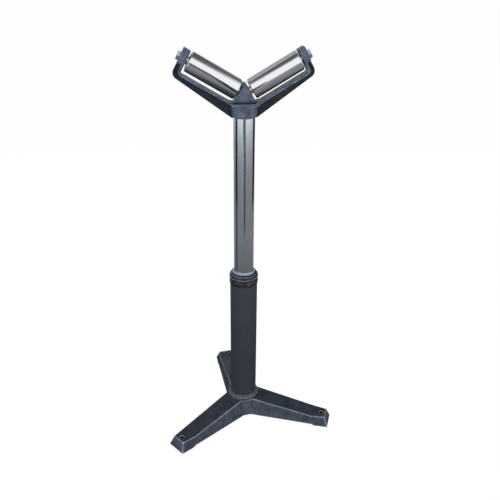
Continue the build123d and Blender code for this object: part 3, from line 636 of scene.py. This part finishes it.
def sheet(name, corners, material):
    """Flat stage piece from its corners in order."""
    mesh = bpy.data.meshes.new(name)
    outline = [tuple(map(float, corner)) for corner in corners]
    mesh.from_pydata(outline, [], [tuple(range(len(outline)))])
    mesh.materials.append(material)
    piece = bpy.data.objects.new(name, mesh)
    bpy.context.scene.collection.objects.link(piece)
    return piece


# Matt white paint, which gives a plain white. Its own shading, with the object's shadow, is such a
# small share that the lamps lift it past white, so the shadow doesn't show in the render.
floor_material, tree, shader = new_material("white floor")
shader.inputs["Base Color"].default_value = linear(FLOOR_PAINT)
shader.inputs["Roughness"].default_value = FLOOR_ROUGHNESS
shader.inputs["Specular IOR Level"].default_value = 0.0
glow = add_node(tree, "Emission", Strength=FLOOR_GLOW)
share = add_node(tree, "Math", [(0, seen_rays(tree))], operation="MULTIPLY")
share.inputs[1].default_value = WHITE_SHARE
blend = add_node(tree, "MixShader", [("Fac", share.outputs["Value"]),
                                     (1, shader.outputs["BSDF"]), (2, glow.outputs["Emission"])])
tree.links.new(blend.outputs["Shader"], tree.nodes["Material Output"].inputs["Surface"])
sheet("floor", [(-FLOOR_REACH, -FLOOR_REACH, 0), (FLOOR_REACH, -FLOOR_REACH, 0),
                (FLOOR_REACH, FLOOR_REACH, 0), (-FLOOR_REACH, FLOOR_REACH, 0)], floor_material)

world = bpy.data.worlds.new("studio")
bpy.context.scene.world = world
world.use_nodes = True
sky_tree = world.node_tree
sky = sky_tree.nodes["Background"]
sky.inputs["Color"].default_value = linear("ffffff")
level = add_node(sky_tree, "MapRange", [("Value", seen_rays(sky_tree))],
                 To_Min=SKY_LIGHT, To_Max=SKY_SEEN)
sky_tree.links.new(level.outputs["Result"], sky.inputs["Strength"])


def soft_lamp(name, place, aim, size, watts):
    """Rectangular soft lamp that faces the point it is aimed at, and that no reflection shows."""
    data = bpy.data.lights.new(name, "AREA")
    data.shape = "RECTANGLE"
    data.size, data.size_y = size
    data.energy = watts
    lamp = bpy.data.objects.new(name, data)
    bpy.context.scene.collection.objects.link(lamp)
    lamp.location = place
    lamp.rotation_euler = (Vector(aim) - Vector(place)).to_track_quat("-Z", "Y").to_euler()
    lamp.visible_glossy = False


soft_lamp("left lamp", (-1.9, -1.7, 0.45), aim=(0, 0, 0.35), size=LAMP_SIZE, watts=92)
soft_lamp("right lamp", (1.9, -1.7, 0.45), aim=(0, 0, 0.35), size=LAMP_SIZE, watts=92)
soft_lamp("top lamp", (-0.15, -1.15, 3.1), aim=(0, 0, 0.3), size=(0.5, 0.5), watts=10)
soft_lamp("rear lamp", (0.2, 2.4, 0.5), aim=(0, 0, 0.35), size=LAMP_SIZE, watts=45)


def card(name, corners, colour="000000", level_at=()):
    """Grey card that only reflections show. With level_at, pairs of radius in metres and
    brightness round the stand's axis, it fades between them."""
    material = bpy.data.materials.new(name)
    material.use_nodes = True
    tree = material.node_tree
    tree.nodes.clear()
    glow = add_node(tree, "Emission", Color=linear(colour), Strength=1.0)
    if level_at:
        coordinates = add_node(tree, "TexCoord")
        level_only = add_node(tree, "VectorMath", [(0, coordinates.outputs["Object"])],
                              operation="MULTIPLY")
        level_only.inputs[1].default_value = (1, 1, 0)
        radius = add_node(tree, "VectorMath", [(0, level_only.outputs["Vector"])],
                          operation="LENGTH")
        reach = level_at[-1][0]
        share = add_node(tree, "Math", [(0, radius.outputs["Value"])], operation="DIVIDE")
        share.inputs[1].default_value = reach
        fade = add_node(tree, "ValToRGB", [("Fac", share.outputs["Value"])],
                        [(place / reach, (level, level, level * SHADE_COOLNESS, 1))
                         for place, level in level_at])
        tree.links.new(fade.outputs["Color"], glow.inputs["Color"])
    output = add_node(tree, "OutputMaterial", [("Surface", glow.outputs["Emission"])])
    output.is_active_output = True
    piece = sheet(name, corners, material)
    for ray in ("camera", "diffuse", "transmission", "volume_scatter", "shadow"):
        setattr(piece, "visible_" + ray, False)


def ring_corners(radius, height, steps=48):
    """Corners of a flat round card: evenly spaced points of a circle at one height."""
    turn = np.linspace(0, 2 * np.pi, steps, endpoint=False)
    return np.stack([radius * np.cos(turn), radius * np.sin(turn), np.full(steps, height)], axis=1)


def standing_corners(azimuth, spread, radius, low, high):
    """Corners of an upright card: the circle's points at azimuth less spread and azimuth plus
    spread, in degrees round the stand from X, each at the low and the high height."""
    turn = np.radians([azimuth - spread, azimuth + spread])
    return [(radius * np.cos(t), radius * np.sin(t), z)
            for t, z in ((turn[0], low), (turn[1], low), (turn[1], high), (turn[0], high))]


# The post's dark stripes are the post cards' reflections, and its shading along its length is the
# floor's. The rollers' bands are the reflections of the roller card, of the ceiling and its panels
# and of the walls. An upright card's numbers are its azimuth, half its spread, its distance, and
# the heights of its lower and its upper edge.
# Painted reflection: the floor shade card shows metal a floor darkest round the stand and paler
# outwards, though the floor itself is white.
card("floor shade", ring_corners(7.0, 0.002), level_at=[
    (0.0, 0.03), (0.45, 0.05), (0.6, 0.14), (1.0, 0.235), (1.3, 0.24), (1.9, 0.24), (2.4, 0.28),
    (3.4, 0.35), (5.0, 0.55), (7.0, 0.9)])
card("left post card", standing_corners(173, 14, 1.25, 0.1, 0.8), CARD_BLACK)
card("low left post card", standing_corners(173, 14, 0.6, 0.02, 0.36), "4a4e54")
card("right post card", standing_corners(24, 17, 1.3, 0.1, 0.8), CARD_BLACK)
card("front post card", standing_corners(-89, 6.5, 0.9, 0.1, 0.575), "15171b")
card("front roller card", [(-0.3, -0.9, 0.575), (0.115, -0.9, 0.575), (0.125, -0.9, 0.74),
                           (0.04, -0.9, 0.84), (-0.3, -0.9, 0.86)], "585b60")
card("ceiling", ring_corners(3.0, CEILING_Z), level_at=[
    (0.0, 0.09), (1.3, 0.1), (1.7, 0.14), (2.1, 0.34), (2.6, 0.75), (3.0, 0.9)])
card("pale ceiling panel", [(-5.0, 0.1, PANEL_Z), (-0.3, 0.1, PANEL_Z), (-0.3, 4.2, PANEL_Z),
                            (-5.0, 4.2, PANEL_Z)], "a4a8ad")
card("dark ceiling panel", [(0.9, 0.2, PANEL_Z), (5.0, 0.2, PANEL_Z), (5.0, 5.0, PANEL_Z),
                            (0.9, 5.0, PANEL_Z)], "54585c")
card("grey wall", standing_corners(48, 27, 2.6, 0.2, WALL_TOP_Z), "74716e")
card("grey back wall", standing_corners(127, 33, 3.0, 1.5, WALL_TOP_Z), "9a9ea4")

# Camera. It stands where the photograph's camera stood, a little left of the stand and above it,
# and looks down at the column. Its place, its turns in degrees and its lens were fitted to points
# and edges of the photograph, and the shift puts the picture's centre where the fit found it.

CAMERA_PLACE = (-0.1423, -1.1590, 1.0085)
CAMERA_TURN = 7.0
CAMERA_PITCH = 27.1
CAMERA_ROLL = 0.2
FOCAL_PIXELS = 565.39
CENTRE_PIXELS = (243.75, 266.79)
PHOTO_PIXELS = 500
SENSOR_MM = 36.0

turn, pitch = np.radians(CAMERA_TURN), np.radians(CAMERA_PITCH)
sight = Vector((np.sin(turn) * np.cos(pitch), np.cos(turn) * np.cos(pitch), -np.sin(pitch)))
camera_data = bpy.data.cameras.new("camera")
camera_data.sensor_width = SENSOR_MM
camera_data.lens = FOCAL_PIXELS / PHOTO_PIXELS * SENSOR_MM
camera_data.shift_x = (PHOTO_PIXELS / 2 - CENTRE_PIXELS[0]) / PHOTO_PIXELS
camera_data.shift_y = (CENTRE_PIXELS[1] - PHOTO_PIXELS / 2) / PHOTO_PIXELS
camera = bpy.data.objects.new("camera", camera_data)
camera.location = CAMERA_PLACE
camera.rotation_euler = sight.to_track_quat("-Z", "Y").to_euler()
camera.rotation_euler.rotate_axis("Z", np.radians(CAMERA_ROLL))
bpy.context.scene.collection.objects.link(camera)
bpy.context.scene.camera = camera
bpy.context.scene.view_settings.view_transform = "Standard"
